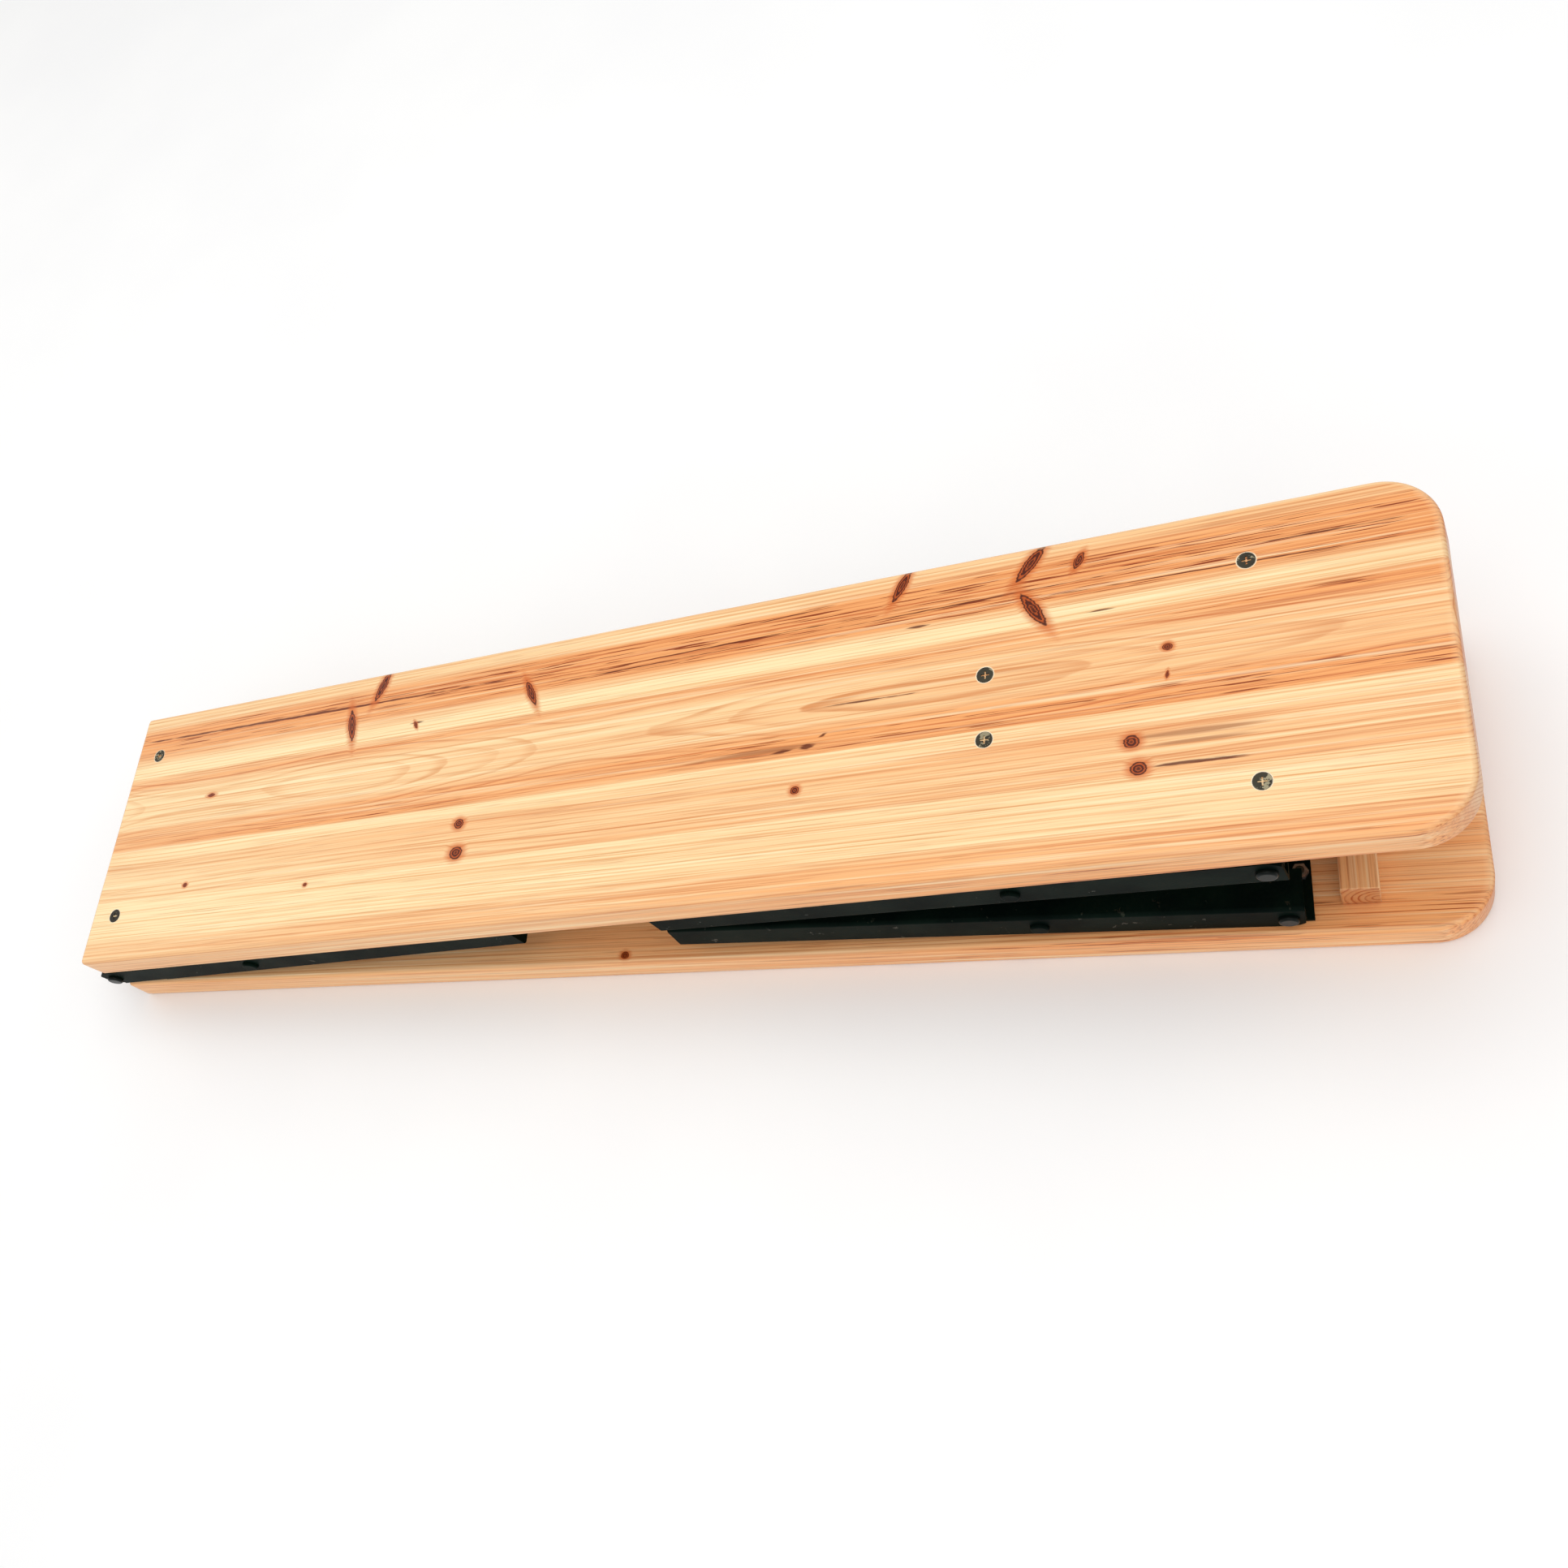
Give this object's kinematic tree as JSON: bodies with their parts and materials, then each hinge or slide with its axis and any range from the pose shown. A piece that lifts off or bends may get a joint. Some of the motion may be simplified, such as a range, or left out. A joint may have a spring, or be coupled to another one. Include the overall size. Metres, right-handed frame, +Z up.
{
  "type": "folding bench",
  "caption": "Long wooden bench seat in two halves that fold onto each other, with folding steel legs between them.",
  "frame": {"origin": "centre of the folded bench's footprint, on the floor under the lower half's seat face", "axes": "+X from the joint end to the outer, round-cornered end; +Y across the seat, away from the left rails; +Z up"},
  "size_m": [1.1717, 0.2546, 0.1986],
  "materials": {
    "seat_wood": "clear satin lacquer on edge-glued softwood staves",
    "batten_wood": "clear satin lacquer",
    "green_steel": "dark green powder coat",
    "bolt_steel": "dull zinc, a little worn",
    "zinc_steel": "bright zinc",
    "rivet_steel": "dark green powder coat, rubbed on the crown"
  },
  "bodies": {
    "lower_half": {"lower_batten": "batten_wood", "lower_batten_screws": "zinc_steel", "lower_board": "seat_wood", "lower_joint_ears": "green_steel", "lower_joint_plate": "green_steel", "lower_joint_plate_bolts": "bolt_steel", "lower_joint_plate_nuts": "zinc_steel", "lower_leg_ears": "green_steel", "lower_leg_pivot_rivets": "rivet_steel", "lower_leg_plate": "green_steel", "lower_leg_plate_bolts": "bolt_steel", "lower_leg_plate_nuts": "zinc_steel", "lower_stay_bracket_pin": "rivet_steel", "lower_stay_ear": "green_steel", "lower_stay_plate": "green_steel", "lower_stay_plate_bolts": "bolt_steel", "lower_stay_plate_nuts": "zinc_steel"},
    "lower_leg": {"lower_leg_left_rail": "green_steel", "lower_leg_right_rail": "green_steel", "lower_leg_foot_bar": "green_steel", "lower_leg_cross_rod": "green_steel", "lower_leg_rod_collars": "green_steel"},
    "lower_board_link": {"lower_stay_board_link": "green_steel", "lower_stay_board_link_rivet": "rivet_steel"},
    "lower_leg_link": {"lower_stay_leg_link": "green_steel", "lower_stay_leg_link_rivet": "rivet_steel"},
    "upper_half": {"upper_batten": "batten_wood", "upper_batten_screws": "zinc_steel", "upper_board": "seat_wood", "upper_joint_ears": "green_steel", "upper_joint_plate": "green_steel", "upper_joint_plate_bolts": "bolt_steel", "upper_joint_plate_nuts": "zinc_steel", "upper_leg_ears": "green_steel", "upper_leg_pivot_rivets": "rivet_steel", "upper_leg_plate": "green_steel", "upper_leg_plate_bolts": "bolt_steel", "upper_leg_plate_nuts": "zinc_steel", "upper_stay_bracket_pin": "rivet_steel", "upper_stay_ear": "green_steel", "upper_stay_plate": "green_steel", "upper_stay_plate_bolts": "bolt_steel", "upper_stay_plate_nuts": "zinc_steel", "joint_pins": "rivet_steel"},
    "upper_leg": {"upper_leg_left_rail": "green_steel", "upper_leg_right_rail": "green_steel", "upper_leg_foot_bar": "green_steel", "upper_leg_cross_rod": "green_steel", "upper_leg_rod_collars": "green_steel"},
    "upper_board_link": {"upper_stay_board_link": "green_steel", "upper_stay_board_link_rivet": "rivet_steel"},
    "upper_leg_link": {"upper_stay_leg_link": "green_steel", "upper_stay_leg_link_rivet": "rivet_steel"},
    "centre_leg": {"centre_leg_left_rail": "green_steel", "centre_leg_right_rail": "green_steel", "centre_leg_foot_bar": "green_steel", "centre_leg_cross_rod": "green_steel"}
  },
  "joints": [
    {"name": "fold", "type": "hinge", "parent": "lower_half", "child": "upper_half", "pos_m": [-0.5745, 0, 0.045], "axis": [0, -1, 0], "range_deg": [0, 174.6]},
    {"name": "lower_leg_fold", "type": "hinge", "parent": "lower_half", "child": "lower_leg", "pos_m": [0.4555, 0, 0.045], "axis": [0, 1, 0], "range_deg": [0, 89.7]},
    {"name": "lower_stay_board_link_turn", "type": "hinge", "parent": "lower_half", "child": "lower_board_link", "pos_m": [0.2715, 0, 0.042], "axis": [0, 1, 0], "range_deg": [0, 128.19]},
    {"name": "lower_stay_leg_link_turn", "type": "hinge", "parent": "lower_leg", "child": "lower_leg_link", "pos_m": [0.28766, 0, 0.05233], "axis": [0, 1, 0], "range_deg": [-124.36, 0]},
    {"name": "upper_leg_fold", "type": "hinge", "parent": "upper_half", "child": "upper_leg", "pos_m": [0.45093, 0, 0.14193], "axis": [0, -1, 0], "range_deg": [0, 92.2]},
    {"name": "upper_stay_board_link_turn", "type": "hinge", "parent": "upper_half", "child": "upper_board_link", "pos_m": [0.26746, 0, 0.1276], "axis": [0, -1, 0], "range_deg": [0, 130.81]},
    {"name": "upper_stay_leg_link_turn", "type": "hinge", "parent": "upper_leg", "child": "upper_leg_link", "pos_m": [0.28368, 0, 0.12612], "axis": [0, -1, 0], "range_deg": [-127.62, 0]},
    {"name": "centre_leg_fold", "type": "hinge", "parent": "upper_half", "child": "centre_leg", "pos_m": [-0.5745, 0, 0.045], "axis": [0, 1, 0], "range_deg": [0, 90.2]}
  ],
  "couplings": [
    {"joint": "lower_leg_fold", "follows": "fold", "ratio": 0.5126},
    {"joint": "lower_stay_board_link_turn", "follows": "fold", "ratio": 0.73305},
    {"joint": "lower_stay_leg_link_turn", "follows": "fold", "ratio": -0.71112},
    {"joint": "upper_leg_fold", "follows": "fold", "ratio": 0.52692},
    {"joint": "upper_stay_board_link_turn", "follows": "fold", "ratio": 0.74807},
    {"joint": "upper_stay_leg_link_turn", "follows": "fold", "ratio": -0.72981},
    {"joint": "centre_leg_fold", "follows": "fold", "ratio": 0.51546}
  ]
}
